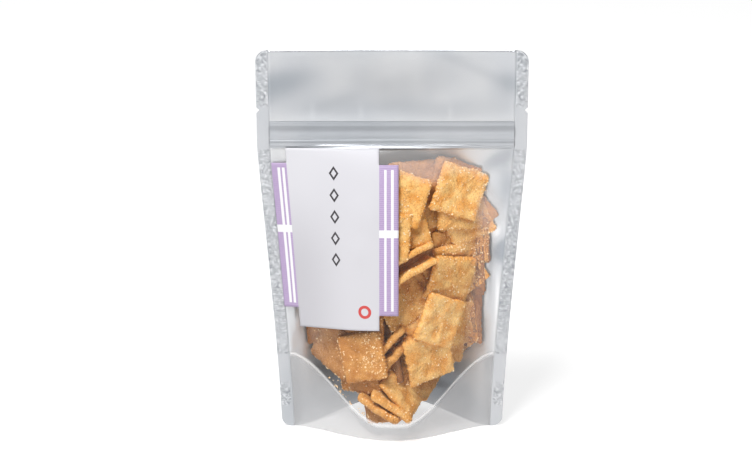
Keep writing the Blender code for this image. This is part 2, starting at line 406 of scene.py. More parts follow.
def painted_sheen_and_shade_at(x, h):
    """The painted reflections and painted shade, summed from soft oval patches: each falls away as a bell
    curve along and across its own turn.
    """
    total = np.zeros_like(x)
    for middle_x, middle_h, long, wide, turn, strength in PAINTED_SHEEN_AND_SHADE:
        c, d = math.cos(math.radians(turn)), math.sin(math.radians(turn))
        across, up = 1000.0 * x - middle_x, 1000.0 * h - middle_h
        along, aside = (across * c + up * d) / long, (up * c - across * d) / wide
        total += strength * np.exp(-along * along - aside * aside)
    return total


def back_film():
    """The back film on a grid of about 1.3 mm."""
    h, t = np.meshgrid(np.linspace(0.0, HEIGHT, 161), np.linspace(-1.0, 1.0, 99), indexing="ij")
    x = inner_half(h) * t
    held = off_seals(t) * smooth((ZIP_FOOT - h) / 0.006)
    squares = soft_squares(x, h, back_squares(), BACK_SQUARE, BACK_SLOPE)
    folds = BACK_FOLDS * ripples(x, h, 11, 14, 0.012, 0.045)
    stand = flat_gap(t, h) + held * (BACK_RELIEF * squares + folds * (1.0 - 0.5 * squares))
    points = film_points(t, h, 1.0, stand)
    points[..., 1] += header_waves(x, t, h)
    film = sheet_mesh("back_film", points[:, ::-1], silver_film)
    # The painted reflections and painted shade, kept on the silver's points.
    mark_points(film, "painted_sheen_and_shade", painted_sheen_and_shade_at(x, h)[:, ::-1])
    thicken(film, FILM_WALL, 1.0)
    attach(film, "root")


back_film()

# Side seals: strips where the two films are welded by hot bars. The bars leave a fine knurl from
# the top to the notches, and again below the zip, and the corners are die-cut round.
CORNER = 0.005
TOP_CORNER = 0.006
NOTCH_HEIGHT = 0.1765
NOTCH_DEPTH = 0.0016
KNURL_PITCH = 0.00115
KNURL_RELIEF = 0.00006
KNURL_UNEVEN = 0.22  # how unequal the pyramids are, as a share of their height
KNURL_FADE = 0.0008
KNURL_UPPER = (0.1780, 1.0)  # heights of its three stretches, the upper one without an end
KNURL_MIDDLE = (0.0415, 0.1560)
KNURL_LOWER = (0.0105, 0.0265)
SEAL_HALF = 0.00026
SEAL_BOW = 0.00025
SEAL_COLS = 21
SEAL_ROWS = 700
CORNER_ROWS = 17
SEAL_LAP = 0.0002


def corner_cut(depth, radius):
    """How far a round corner takes the side edge in, at a depth below the corner's start."""
    return radius - np.sqrt(np.maximum(radius ** 2 - np.clip(depth, 0.0, radius) ** 2, 0.0))


def pressed_from(h, low, high):
    """1 between two heights, with soft ends."""
    return smooth((h - low) / KNURL_FADE) * smooth((high - h) / KNURL_FADE)


def knurl(x, h, out):
    """Small pyramids in diagonal rows, and the stretches and width where the bars press them."""
    a = (x + h) * math.pi / KNURL_PITCH
    b = (x - h) * math.pi / KNURL_PITCH
    pyramids = np.abs(np.sin(a) * np.sin(b))
    upper = pressed_from(h, *KNURL_UPPER) * smooth(out / 0.12)
    middle = pressed_from(h, *KNURL_MIDDLE) * smooth(out / 0.06)
    rounded = np.hypot(np.maximum(0.0165 - h, 0.0) / 0.0055, np.maximum(0.42 - out, 0.0) / 0.30)
    lower = pressed_from(h, *KNURL_LOWER) * smooth((1.0 - rounded) / 0.3)
    return pyramids, np.maximum(np.maximum(upper, middle), lower)


def knurled_seal_material():
    """The silver laminate welded through, with painted highlights on the knurl's pyramids and painted shade
    between them.
    """
    mat, tree, out = new_material("welded_film")
    height, tone = crinkle(tree, 0.4, 1.0)
    painted_knurl_light_and_shade = marked(tree, "knurl")
    plain = mixed(tree, tone, (0.42, 0.44, 0.465), (0.52, 0.53, 0.55))
    # Painted shade in the knurl's pits, and painted highlights on its pyramids.
    color = mixed(tree, spread(tree, painted_knurl_light_and_shade, 0.05, -0.5), plain, (0.17, 0.18, 0.20))
    color = mixed(tree, spread(tree, painted_knurl_light_and_shade, 0.0, 0.6), color, (0.82, 0.83, 0.845))
    return covered(mat, out, {
        "Base Color": color, "Metallic": 0.2, "Roughness": 0.45, "Normal": bumped(tree, height, 0.3, 0.0006)})


def side_seals():
    """Both strips: a ring round each level, out along the front face and back along the other. The
    strip is thin at its two long edges, and the pyramids stand on it. Their unevenness is drawn for
    every two by two points."""
    mat = knurled_seal_material()
    h = np.concatenate((np.linspace(0.0, CORNER, CORNER_ROWS)[:-1],
                        np.linspace(CORNER, HEIGHT - TOP_CORNER, SEAL_ROWS),
                        np.linspace(HEIGHT - TOP_CORNER, HEIGHT, CORNER_ROWS)[1:]))
    h, out = np.meshgrid(h, np.linspace(0.0, 1.0, SEAL_COLS), indexing="ij")
    cut = corner_cut(CORNER - h, CORNER) + corner_cut(h - HEIGHT + TOP_CORNER, TOP_CORNER)
    notch = np.maximum(NOTCH_DEPTH - np.abs(h - NOTCH_HEIGHT) * 1.1, 0.0)
    across = (SIDE_SEAL - cut - notch) * out
    x = inner_half(h) - SEAL_LAP + across
    pyramids, where = knurl(across, h, out)
    rows = len(h)
    uneven = np.random.default_rng(37).normal(0.0, KNURL_UNEVEN, (rows // 2 + 1, SEAL_COLS // 2 + 1))
    uneven = uneven.repeat(2, axis=0)[:rows].repeat(2, axis=1)[:, :SEAL_COLS]
    edge = smooth((1.0 - out) / 0.04)
    under = smooth(out / 0.10)
    half = SEAL_HALF * (0.35 + 0.65 * edge * under)
    half = half + KNURL_RELIEF * np.maximum(pyramids + uneven, 0.0) * where * edge * under
    bow = header_bow(x, h) + SEAL_BOW * ripples(x, h, 31, 8, 0.02, 0.06)
    # The knurl's relief and its unevenness, kept as a mark for the painted highlights and painted shade.
    relief = (pyramids - 0.42 + uneven) * where
    for name, side in (("side_seal_left", -1.0), ("side_seal_right", 1.0)):
        front = np.stack((x * side, bow - half, h), axis=-1)
        back = np.stack((x * side, bow + half, h), axis=-1)[:, ::-1]
        ring = np.concatenate((front, back), axis=1)
        marks = np.concatenate((relief, relief[:, ::-1]), axis=1)
        if side > 0.0:
            ring, marks = ring[:, ::-1], marks[:, ::-1]
        seal = sheet_mesh(name, ring, mat, across_wrap=True)
        mark_points(seal, "knurl", marks)
        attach(seal, "root")


side_seals()

# Gusset: the clear bottom film, folded in and welded to both sides along a curved line. It hangs
# between the two welds and takes the crackers' weight.
WELD_LOW = 0.0085
WELD_HIGH = 0.042
WELD_START = 0.008
WELD_END = 0.060
GUSSET_FOLD = 0.042
GUSSET_HANG = 0.66
WELD_MEAN = 0.020  # height at which the film's width is read for the weld
FLOOR_CLEAR = 0.0004
GUSSET_INSIDE = 0.0002
WELD_MILK = 0.75
SKIRT_SHADE_MILK = 0.42


def way_across(t, h):
    """Way across the film to the share t: the slope's length summed at eight Gauss points."""
    spots, weights = np.polynomial.legendre.leggauss(8)
    spots, weights = (spots + 1.0) / 2.0, weights / 2.0
    u = t[..., None] * spots
    slope = -2.0 * LOBE * u * np.maximum(1.0 - u * u, 1e-12) ** (LOBE - 1.0)
    length = np.hypot(inner_half(h)[..., None], bulge(h)[..., None] * slope)
    return t * (length * weights).sum(axis=-1)


def share_at(s, h):
    """The inverse of way_across: the share is corrected until the way it gives is s."""
    t = s / way_across(np.ones_like(s), h)
    for _ in range(8):
        t = t + (s - way_across(t, h)) / way_across(np.ones_like(s), h)
    return t


def weld_height(s):
    """The bottom weld's line: level at the middle, then climbing to the side seals."""
    u = np.clip((np.abs(s) - WELD_START) / (WELD_END - WELD_START), 0.0, 1.0)
    return WELD_LOW + (WELD_HIGH - WELD_LOW) * (u + smooth(u)) / 2.0


def gusset_height(t, v):
    """The gusset between the welds, v running from -1 at the front to 1 at the back."""
    top = weld_height(way_across(t, np.full_like(t, WELD_MEAN)))
    span = 2.0 * bulge(top) * lobe(t)
    spare = np.maximum(2.0 * (GUSSET_FOLD - top) - span, 0.0)
    sag = GUSSET_HANG * np.sqrt(span * spare) * (1.0 - np.abs(v) ** 3)
    return top, np.maximum(top + lift(top) * lobe(t) - sag, FLOOR_CLEAR)


def clear_film_material(name, milk, haze_milk, bending):
    """Clear film: seen through, a little milky, milkier where the crackers lie further behind it, white
    along the weld, greyer below it with painted shade, and glossy where it turns towards the light."""
    mat, tree, out = new_material(name)
    height, tone = crinkle(tree, 0.6, 0.8)
    bump = bumped(tree, height, 0.30, 0.0008)
    milky = spread(tree, tone, 0.0, 1.0, milk * 0.6, milk * 1.4)
    for mark, amount in (("haze", haze_milk), ("weld", WELD_MILK), ("skirt", SKIRT_SHADE_MILK)):
        milky = calc(tree, "ADD", milky, product(tree, marked(tree, mark), amount), clamp=True)
    # Below the weld the milk turns dark grey: painted shade of the silver seen through the skirt.
    tint = mixed(tree, marked(tree, "skirt"), (0.83, 0.82, 0.82), (0.44, 0.44, 0.445))
    through = node(tree, "ShaderNodeBsdfTransparent", {"Color": (0.995, 0.995, 0.995)}).outputs[0]
    body = node(tree, "ShaderNodeBsdfPrincipled", {"Base Color": tint, "Roughness": 0.5, "Normal": bump})
    film = node(tree, "ShaderNodeMixShader", {0: milky, 1: through, 2: body.outputs[0]}).outputs[0]
    gloss = node(tree, "ShaderNodeBsdfGlossy", {
        "Color": (0.95, 0.95, 0.95), "Roughness": 0.16, "Normal": bump}).outputs[0]
    facing = node(tree, "ShaderNodeFresnel", {"IOR": bending, "Normal": bump}).outputs[0]
    inside = node(tree, "ShaderNodeNewGeometry").outputs["Backfacing"]
    facing = product(tree, facing, calc(tree, "SUBTRACT", 1.0, inside))
    film = node(tree, "ShaderNodeMixShader", {0: facing, 1: film, 2: gloss}).outputs[0]
    shadow = node(tree, "ShaderNodeLightPath").outputs["Is Shadow Ray"]
    film = node(tree, "ShaderNodeMixShader", {0: shadow, 1: film, 2: through}).outputs[0]
    tree.links.new(film, out.inputs[0])
    return mat


def gusset_film():
    """The hanging film on a grid of shares t and v."""
    t, v = np.meshgrid(np.linspace(-0.97, 0.97, 91), np.linspace(-1.0, 1.0, 33), indexing="ij")
    top, z = gusset_height(t, v)
    y = v * (bulge(top) * lobe(t) - GUSSET_INSIDE)
    film = sheet_mesh("gusset_film", np.stack((inner_half(top) * t, y, z), axis=-1),
                      clear_film_material("clear_gusset", 0.002, 0.1, 1.12))
    for mark in ("haze", "weld", "skirt"):
        mark_points(film, mark, np.zeros_like(t))
    thicken(film, FILM_WALL, 0.0)
    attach(film, "root")


gusset_film()

# Crackers: about 25 mm square and 4 mm thick, rolled, cut with a toothed edge, puffed and fried,
# then glazed with coarse sugar. Those against the film are placed one by one, as they lie.
CRACKER_THICK = 0.0038
CORNERS = 18.0  # how square the outline is: 2 is a circle
TEETH = 58.0  # cut teeth round one cracker
TOOTH = 0.048  # this and the next five are shares of half a cracker's side
ROUGH = 0.0052
NIBBLE = 0.0035
FACE_PART = 0.93
EDGE_PART = 0.07
BEND = 0.030
# x, z, distance behind the film, turn, tip, swing and size: millimetres and degrees
AT_FILM = np.array((
    (36.2, 134, 0.4, -21, 0, 0, 26), (38.3, 126, 4.3, -4, 4, 0, 25.5), (42, 118, 6.3, 27, 0, 0, 25.5),
    (41, 113, 11.5, 8, 0, 0, 25), (44, 106.5, 9.5, -3, 0, 0, 25), (5, 133.5, 0.8, -19, 0, 0, 26),
    (6.8, 118, 6, 14, 0, 0, 25), (-3.3, 114, 1.5, -5, 0, 0, 25), (11.5, 102.6, 0.6, 22, 98, 0, 25),
    (13, 94, 0.6, 26, 94, 0, 25), (34.5, 85.5, 2.2, -12, -12, 0, 26), (38.5, 92, 6.4, 6, -6, 0, 25),
    (36, 88, 12, 24, 0, 10, 25), (27.6, 65.5, 0.3, -25, 0, 3, 25.6), (33, 62, 5.6, -14, 0, 4, 25),
    (38, 61, 9.2, -2, 0, 0, 25), (17.5, 70.5, 4.6, -42, 0, -22, 25), (7, 78, 7, 30, 10, 10, 26),
    (22.7, 46, 2.8, 11, 0, -6, 26), (34.5, 51, 8.5, -10, 0, 0, 25), (13, 29, 3.6, 33, 6, 34, 26),
    (1.5, 23, 1.2, -35, 80, 0, 25), (-9.5, 18.5, 1.2, -27, 92, 0, 25), (-8.5, 30, 9, -12, 30, 0, 22),
    (-17.5, 47.5, 0.8, 17, 6, 0, 25.5), (-34.5, 47.5, 6, -24, 0, 0, 26), (-40.5, 60, 7, 6, 0, 0, 25),
    (-20, 60, 7, 5, 0, 0, 25), (-4, 56, 5, 52, 82, 0, 25), (2, 50, 7, 48, 84, 0, 25),
    (-22, 38, 7, 6, 0, 0, 25), (24, 128.5, 10.5, 15, 0, 0, 25),
))
# Those that the film stands clear of, along the top and the right side
MISTED = np.array((
    (12.5, 139.6, 8, 3, 0, 0, 25), (35, 137.8, 7, -16, 0, 0, 25), (-9, 137.5, 9, -8, 0, 0, 25),
    (45, 121.5, 7, 40, 0, 0, 22), (41.5, 65, 12.5, 1, 0, 0, 25), (44.8, 86, 12, 4, 0, 0, 24),
    (45.5, 66, 15.5, -2, 0, 0, 25), (45.5, 105, 11, 4, 0, 0, 24), (43.5, 58, 11, 5, 0, 0, 24),
    (38.5, 52.5, 13, 6, 0, 0, 24),
))
MISTED_SHADE_DEPTH = 14.0  # painted shade: they are darkened as if they lay this much deeper
FOREMOST = 3.5  # those in front lie less than this behind the film
PROUD = 0.0004  # how far a corner may lie outside the plain front film
PROUD_MISTED = -0.0012  # below 0 for those that have to lie inside it
PROUD_INNER = -0.002
BACK_ROOM = 0.0013  # the least room between a cracker and the plain back film
LAYERS = (13.0, 20.0, 28.0)
COLUMN_PITCH = 16.4
ROW_PITCH = 13.0
INNER_TOP = 137.0
INNER_SIDE = 43.0
MILLI = 0.001


def unit(vectors):
    """Each vector at length 1."""
    return vectors / np.linalg.norm(vectors, axis=-1, keepdims=True)


def turned(vectors, axes, degrees):
    """Each vector turned about its own axis, by Rodrigues' formula."""
    a = np.radians(degrees)[..., None]
    along = (axes * vectors).sum(axis=-1, keepdims=True)
    return vectors * np.cos(a) + np.cross(axes, vectors) * np.sin(a) + axes * along * (1.0 - np.cos(a))


def film_frame(x, z):
    """Point on the front film with its right, up and outward directions, from the film's slopes."""
    e = 0.0005
    slope_x = (film_depth(x + e, z) - film_depth(x - e, z)) / (2.0 * e)
    slope_z = (film_depth(x, z + e) - film_depth(x, z - e)) / (2.0 * e)
    outward = unit(np.stack((-slope_x, -np.ones_like(x), -slope_z), axis=-1))
    right = unit(np.cross(-outward, np.array((0.0, 0.0, 1.0))))
    return np.stack((x, -film_depth(x, z), z), axis=-1), right, np.cross(right, -outward), outward


def lay_crackers(table, proud):
    """Each cracker's middle and three directions. Turn is in the film's plane, tip looks up, and swing
    turns its right side away. No corner stands further outside the plain film than proud."""
    x, z, behind, turn, tip, swing, size = table.T
    size = size * MILLI
    point, right, up, outward = film_frame(x * MILLI, z * MILLI)
    u, v = turned(right, -outward, -turn), turned(up, -outward, -turn)
    v, m = turned(v, u, -tip), turned(outward, u, -tip)
    u, m = turned(u, v, swing), turned(m, v, swing)
    across = np.abs((u * outward).sum(-1)) + np.abs((v * outward).sum(-1))
    half = size / 2.0 * across + CRACKER_THICK / 2.0 * np.abs((m * outward).sum(-1))
    middle = point - outward * (behind * MILLI + half)[:, None]
    for _ in range(3):
        reach = []
        for a, b in ((-1, -1), (-1, 1), (1, -1), (1, 1)):
            for c in (-1, 1):
                corner = middle + (u * a + v * b) * (size / 2.0)[:, None] + m * c * CRACKER_THICK / 2.0
                reach.append(-corner[:, 1] - film_depth(corner[:, 0], corner[:, 2]))
        over = np.maximum(np.max(reach, axis=0) - proud, 0.0)
        middle = middle - outward * over[:, None]
    return middle, u, v, m, size


def outline_square(around):
    """A rounded square of half side 1: points at even steps of its length, by the share gone round."""
    theta = np.linspace(0.0, 2.0 * math.pi, 1441)
    radius = (np.abs(np.cos(theta)) ** CORNERS + np.abs(np.sin(theta)) ** CORNERS) ** (-1.0 / CORNERS)
    line = np.stack((radius * np.cos(theta), radius * np.sin(theta)), axis=-1)
    gone = np.concatenate(([0.0], np.cumsum(np.linalg.norm(np.diff(line, axis=0), axis=-1))))
    at = np.interp(around, gone / gone[-1], theta)
    radius = (np.abs(np.cos(at)) ** CORNERS + np.abs(np.sin(at)) ** CORNERS) ** (-1.0 / CORNERS)
    return radius, np.cos(at), np.sin(at)


def waves_over(x, y, draw, count, pitch, each):
    """Sine waves over a face, of one rough pitch, each with its own way and start for each cracker."""
    total = np.zeros_like(x)
    for _ in range(each):
        way, start = draw.uniform(0.0, 2.0 * math.pi, (2, count, 1, 1))
        scale = draw.uniform(0.8, 1.25, (count, 1, 1)) * 2.0 * math.pi / pitch
        total += np.sin((x * np.cos(way) + y * np.sin(way)) * scale + start) / math.sqrt(each)
    return total


def cracker_points(laid, seed, face_rings, edge_rings, around):
    """Closed skins, points[cracker, ring, step round]. The outline is a rounded square with cut teeth,
    and a ring runs from the top face's middle over the edge to the bottom's. The face puffs at its
    rim, swells and dents in soft lumps, and the whole bends a little."""
    middle, u, v, m, size = laid
    count = len(size)
    draw = np.random.default_rng(seed)
    face = np.linspace(0.02, FACE_PART, face_rings)
    turn = np.linspace(0.0, math.pi, edge_rings + 2)[1:-1]
    share = np.concatenate((face, FACE_PART + EDGE_PART * np.sin(turn), face[::-1]))[None, :, None]
    level = np.concatenate((np.ones(face_rings), np.cos(turn), -np.ones(face_rings)))[None, :, None]

    gone = np.linspace(0.0, 1.0, around, endpoint=False)
    radius, c, s = outline_square(gone)
    start = draw.uniform(0.0, 2.0 * math.pi, (3, count, 1))
    teeth = np.abs(np.sin(TEETH * math.pi * gone + start[0]))
    teeth = TOOTH * teeth * (0.60 + 0.40 * np.sin(14.0 * math.pi * gone + start[1]))
    waves = np.arange(2, 34)[None, :, None]
    phase = draw.uniform(0.0, 2.0 * math.pi, (count, 32, 1))
    crests = np.sin(2.0 * math.pi * waves * gone + phase)
    rough = (draw.uniform(0.0, ROUGH, (count, 32, 1)) * crests).sum(axis=1)
    nibble = draw.normal(0.0, NIBBLE, (count, around))
    edge = radius * (1.0 + teeth + rough + nibble)
    reach = edge[:, None, :] * share
    x, y = reach * c, reach * s
    rim = np.maximum(np.abs(x), np.abs(y))
    lumps = sum(tall * waves_over(x, y, draw, count, pitch, each) for tall, pitch, each in (
        (0.10, 1.3, 3), (0.13, 0.6, 4), (0.065, 0.3, 5), (0.045, 0.17, 6)))
    puff = draw.uniform(0.10, 0.45, (count, 1, 1))
    swell = 0.72 + puff * smooth((rim - 0.40) / 0.40) * smooth((1.06 - rim) / 0.20)
    grit = draw.normal(0.0, 0.030, x.shape) * smooth((share - 0.1) / 0.2)
    bend = draw.normal(0.0, BEND, (3, count, 1, 1))
    half = (size / 2.0)[:, None, None]
    outwards = np.where(level > 0.0, level, -0.6 * level)
    height = CRACKER_THICK / 2.0 * (swell * level + (lumps + grit) * outwards)
    height = height + (bend[0] * x * x + bend[1] * y * y + bend[2] * x * y) * half
    local = (x * half)[..., None] * u[:, None, None] + (y * half)[..., None] * v[:, None, None]
    points = middle[:, None, None] + local + height[..., None] * m[:, None, None]
    return points, np.clip(rim, 0.0, 1.0)


def skins_mesh(name, points, mat):
    """One mesh of many closed skins: quads between rings, and a small polygon over each end."""
    count, rings, angles = points.shape[:3]
    index = np.arange(count * rings * angles).reshape(count, rings, angles)
    after = np.roll(index, -1, axis=2)
    quads = np.stack((index[:, :-1], index[:, 1:], after[:, 1:], after[:, :-1]), axis=-1).reshape(-1, 4)
    faces = quads.tolist() + index[:, 0].tolist() + index[:, -1, ::-1].tolist()
    obj = new_piece(name, points, faces, mat)
    obj.data.shade_smooth()
    return obj


def cracker_material():
    """Fried rice dough: golden, browner as it is marked by its own browning and by painted shade, deeper at
    its thin edges, with fine blisters and specks, and paler where the sugar glaze has dried."""
    mat, tree, out = new_material("fried_cracker")
    place = object_place(tree)
    rim, bake_and_shade, glaze = marked(tree, "rim"), marked(tree, "bake_and_shade"), marked(tree, "glaze")
    patch = noise(tree, place, 170.0, 4.0, 0.6)
    grain = noise(tree, place, 1250.0, 2.0, 0.7)
    spots = node(tree, "ShaderNodeTexVoronoi", {"Vector": place, "Scale": 1000.0}).outputs[0]
    patchy = spread(tree, patch, 0.32, 0.68)
    color = mixed(tree, patchy, (0.83, 0.355, 0.052), (0.97, 0.62, 0.205))
    baked_and_shaded = mixed(tree, patchy, (0.40, 0.14, 0.015), (0.60, 0.255, 0.045))
    edge = product(tree, spread(tree, rim, 0.80, 1.0), 0.45)
    color = mixed(tree, edge, color, (0.86, 0.40, 0.065))
    # Painted shade: the mark that browns a cracker also darkens those at the lower left and deep in the bag.
    color = mixed(tree, calc(tree, "MULTIPLY", bake_and_shade, 0.82, clamp=True), color, baked_and_shaded)
    # Painted deep shade, nearly black-brown, on the most shaded of the misted ones.
    color = mixed(tree, spread(tree, bake_and_shade, 1.3, 1.7), color, (0.20, 0.07, 0.015))
    specks = product(tree, spread(tree, grain, 0.44, 0.64), 0.36)
    color = mixed(tree, specks, color, (0.42, 0.13, 0.015))
    blisters = spread(tree, spots, 0.42, 0.16)
    dust = product(tree, glaze, spread(tree, patch, 0.42, 0.60, 0.25, 1.0),
                   spread(tree, bake_and_shade, 0.0, 1.0, 1.0, 0.35),
                   calc(tree, "ADD", 0.2, product(tree, blisters, 0.8)))
    color = mixed(tree, dust, color, (1.0, 0.70, 0.36))
    height = calc(tree, "ADD", grain, product(tree, patch, 0.8))
    height = calc(tree, "ADD", height, product(tree, blisters, 0.35))
    raised = spread(tree, glaze, 0.2, 0.7, 1.0, 0.65)
    return covered(mat, out, {
        "Base Color": color, "Roughness": spread(tree, grain, 0.3, 0.7, 0.42, 0.62),
        "Normal": bumped(tree, height, raised, 0.0006)})


fried_cracker = cracker_material()


def crackers(name, table, proud, skin, seeds, misted=False):
    """A piece of many crackers: its points, and where each lies. skin is the rings over a face, the
    rings over an edge and the steps round. No point reaches past the back film. Marks for the material
    are the rim, how brown each is and how much glaze it has. How brown is a random share of its own
    browning plus painted shade, darker at the lower left and deeper in the bag. The misted ones also
    stay behind the front film, get more painted shade and are dry."""
    laid = lay_crackers(table, proud)
    points, rim = cracker_points(laid, seeds[0], *skin)
    depth = film_depth(points[..., 0], points[..., 2])
    points[..., 1] = np.minimum(points[..., 1], depth - BACK_ROOM)
    if misted:
        points[..., 1] = np.maximum(points[..., 1], PROUD - depth)
    obj = skins_mesh(name, points, fried_cracker)

    draw = np.random.default_rng(seeds[1])
    # Painted shade: darker towards the lower left and with depth behind the film, on top of a random browning.
    shade_low_left = smooth((20.0 - table[:, 0]) / 50.0) * smooth((80.0 - table[:, 1]) / 30.0)
    behind = table[:, 2] + (MISTED_SHADE_DEPTH if misted else 0.0)
    bake_and_shade = draw.uniform(0.0, 0.14, len(table)) + shade_low_left + behind / 17.0
    glaze = draw.uniform(0.15, 0.75, len(table)) * (0.0 if misted else 1.0)
    for mark, values in (("rim", rim), ("bake_and_shade", bake_and_shade[:, None, None]), ("glaze", glaze[:, None, None])):
        mark_points(obj, mark, np.broadcast_to(values, rim.shape))
    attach(obj, "root")
    return points, laid


def inner_table():
    """Where the crackers further in lie: jittered rows in three layers, each turned and tipped at
    random, kept inside the pouch's outline and above the gusset."""
    draw = np.random.default_rng(7)
    rows = []
    for layer, behind in enumerate(LAYERS):
        x, z = np.meshgrid(np.arange(-46.0, 47.0, COLUMN_PITCH), np.arange(20.0, 149.0, ROW_PITCH))
        x = x + COLUMN_PITCH / 2.0 * (np.arange(x.shape[0]) % 2)[:, None] + draw.uniform(-3.5, 3.5, x.shape)
        z = z + draw.uniform(-4.0, 4.0, x.shape) + 5.0 * layer
        room = 2000.0 * film_depth(x * MILLI, z * MILLI)
        low = 1000.0 * weld_height(x * MILLI) * 0.75 + 12.0
        keep = (z > low) & (z < INNER_TOP) & (np.abs(x) < INNER_SIDE) & (room > behind - 4.0)
        angles = draw.normal(0.0, 1.0, (2,) + x.shape) * 9.0
        turn = draw.uniform(-90.0, 90.0, x.shape)
        lot = np.stack((x, z, np.minimum(behind, room - 5.0), turn, angles[0], angles[1],
                        draw.uniform(24.0, 25.5, x.shape)), axis=-1)
        rows.append(lot[keep])
    return np.concatenate(rows)


foremost = AT_FILM[:, 2] < FOREMOST
front_points, front_laid = crackers(
    "crackers_in_front", AT_FILM[foremost], PROUD, (10, 4, 320), (41, 2699))
next_points, next_laid = crackers(
    "crackers_behind_them", AT_FILM[~foremost], PROUD, (7, 3, 240), (44, 45))
misted_points, _ = crackers(
    "crackers_behind_mist", MISTED, PROUD_MISTED, (7, 3, 200), (57, 59), misted=True)
inner_points, inner_laid = crackers(
    "crackers_within", inner_table(), PROUD_INNER, (5, 3, 56), (47, 53))

# Sugar: coarse pale crystals stuck in the glaze, most on the faces, and loose crumbs that have
# gathered in the fold above the left weld.
CRYSTAL = 0.00037
STUCK_OUT = 0.00008
SPOTS = 7  # where the glaze ran together, for each cracker
SPOT_WIDTH = 0.075  # as a share of the way round
ALONE = 0.4
FACE_SHARE = 0.46  # the rings from the middle of the top face to its edge, as a share of all
CRUMBS = 46


def sugar_material():
    """Coarse sugar: pale, a little amber and shiny."""
    mat, tree, out = new_material("coarse_sugar")
    tint = noise(tree, object_place(tree), 500.0, 1.0)
    color = mixed(tree, spread(tree, tint, 0.35, 0.65), (0.86, 0.55, 0.25), (0.96, 0.78, 0.50))
    return covered(mat, out, {"Base Color": color, "Roughness": 0.45, "Specular IOR Level": 0.3})


def crystals_mesh(name, places, sizes, seed, mat):
    """One small eight-sided crystal at each place, turned at random by a pair of crossed vectors."""
    draw = np.random.default_rng(seed)
    count = len(places)
    a = unit(draw.normal(0.0, 1.0, (count, 3)))
    b = unit(np.cross(a, unit(draw.normal(0.0, 1.0, (count, 3)))))
    c = np.cross(a, b)
    long = draw.uniform(0.7, 1.3, (3, count, 1)) * sizes[:, None]
    a, b, c = a * long[0], b * long[1], c * long[2]
    tips = np.stack((a, b, -a, -b, c, -c), axis=1)
    sides = np.array(((0, 1, 4), (1, 2, 4), (2, 3, 4), (3, 0, 4), (1, 0, 5), (2, 1, 5), (3, 2, 5), (0, 3, 5)))
    faces = (np.arange(count)[:, None, None] * 6 + sides).reshape(-1, 3)
    obj = new_piece(name, places[:, None] + tips, faces.tolist(), mat)
    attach(obj, "root")


def crystal_places(points, laid, most, seed):
    """Random places on the skins' upper halves, up to a most for each cracker: four in ten anywhere,
    and the rest near a few spots where the glaze ran together. A place lies between two rings."""
    draw = np.random.default_rng(seed)
    count, rings, angles = points.shape[:3]
    some = draw.uniform(0.25, 1.0, count)
    which = np.repeat(np.arange(count), (most * some).astype(int))
    spots = draw.integers(0, SPOTS, len(which))
    share = np.sqrt(draw.uniform(0.02, 1.0, (count, SPOTS)))[which, spots]
    gone = draw.uniform(0.0, 1.0, (count, SPOTS))[which, spots]
    scatter = draw.normal(0.0, SPOT_WIDTH, (2, len(which)))
    alone = draw.uniform(0.0, 1.0, len(which)) < ALONE
    near = np.clip(np.abs(share + 1.6 * scatter[0]), 0.05, 1.0)
    share = np.where(alone, np.sqrt(draw.uniform(0.02, 1.0, len(which))), near)
    gone = np.where(alone, draw.uniform(0.0, 1.0, len(which)), gone + scatter[1]) % 1.0
    place = share * rings * FACE_SHARE
    ring = np.minimum(place.astype(int), rings - 2)
    angle = (gone * angles).astype(int) % angles
    past = np.clip(place - ring, 0.0, 1.0)[:, None]
    between = points[which, ring, angle] * (1.0 - past) + points[which, ring + 1, angle] * past
    return between + laid[3][which] * STUCK_OUT


sugar = sugar_material()
stuck = np.concatenate((crystal_places(front_points, front_laid, 260, 53204),
                        crystal_places(next_points, next_laid, 200, 62),
                        crystal_places(inner_points, inner_laid, 60, 67)))
grow = np.random.default_rng(71).uniform(0.55, 1.35, len(stuck)) ** 1.6 * CRYSTAL
crystals_mesh("sugar_crystals", stuck, grow, 73, sugar)


def loose_crumbs():
    """Crumbs just above the weld line, between the film and the gusset, at the left."""
    draw = np.random.default_rng(79)
    s = -draw.uniform(0.014, 0.034, CRUMBS) - draw.normal(0.0, 0.002, CRUMBS)
    h = weld_height(s) + 0.0006 + draw.gamma(1.2, 0.0009, CRUMBS)
    places = film_points(share_at(s, h), h, -1.0, -0.0006 - draw.gamma(1.0, 0.0006, CRUMBS))
    crystals_mesh("loose_crumbs", places, draw.uniform(0.5, 1.3, CRUMBS) * CRYSTAL, 83, sugar)


loose_crumbs()

# Press zip: two milky strips welded inside the films, with a rib and a groove that lock.
ZIP_RIBS = ((0.1588, 0.0020), (0.1648, 0.0034))  # height and half width of each
ZIP_HEM = 0.1563
ZIP_BACKING = 0.0003
ZIP_RIB = 0.0006
ZIP_ROWS = 61


def zip_stand(h):
    """How far the zip stands out of the flat header: a flat strip with two round ribs, each a parabola
    over its width."""
    strip = smooth((h - ZIP_HEM) / 0.0022) * smooth((ZIP_TOP - h) / 0.0008)
    ribs = sum(np.maximum(1.0 - ((h - rib) / half) ** 2, 0.0) for rib, half in ZIP_RIBS)
    return ZIP_BACKING * strip + ZIP_RIB * ribs


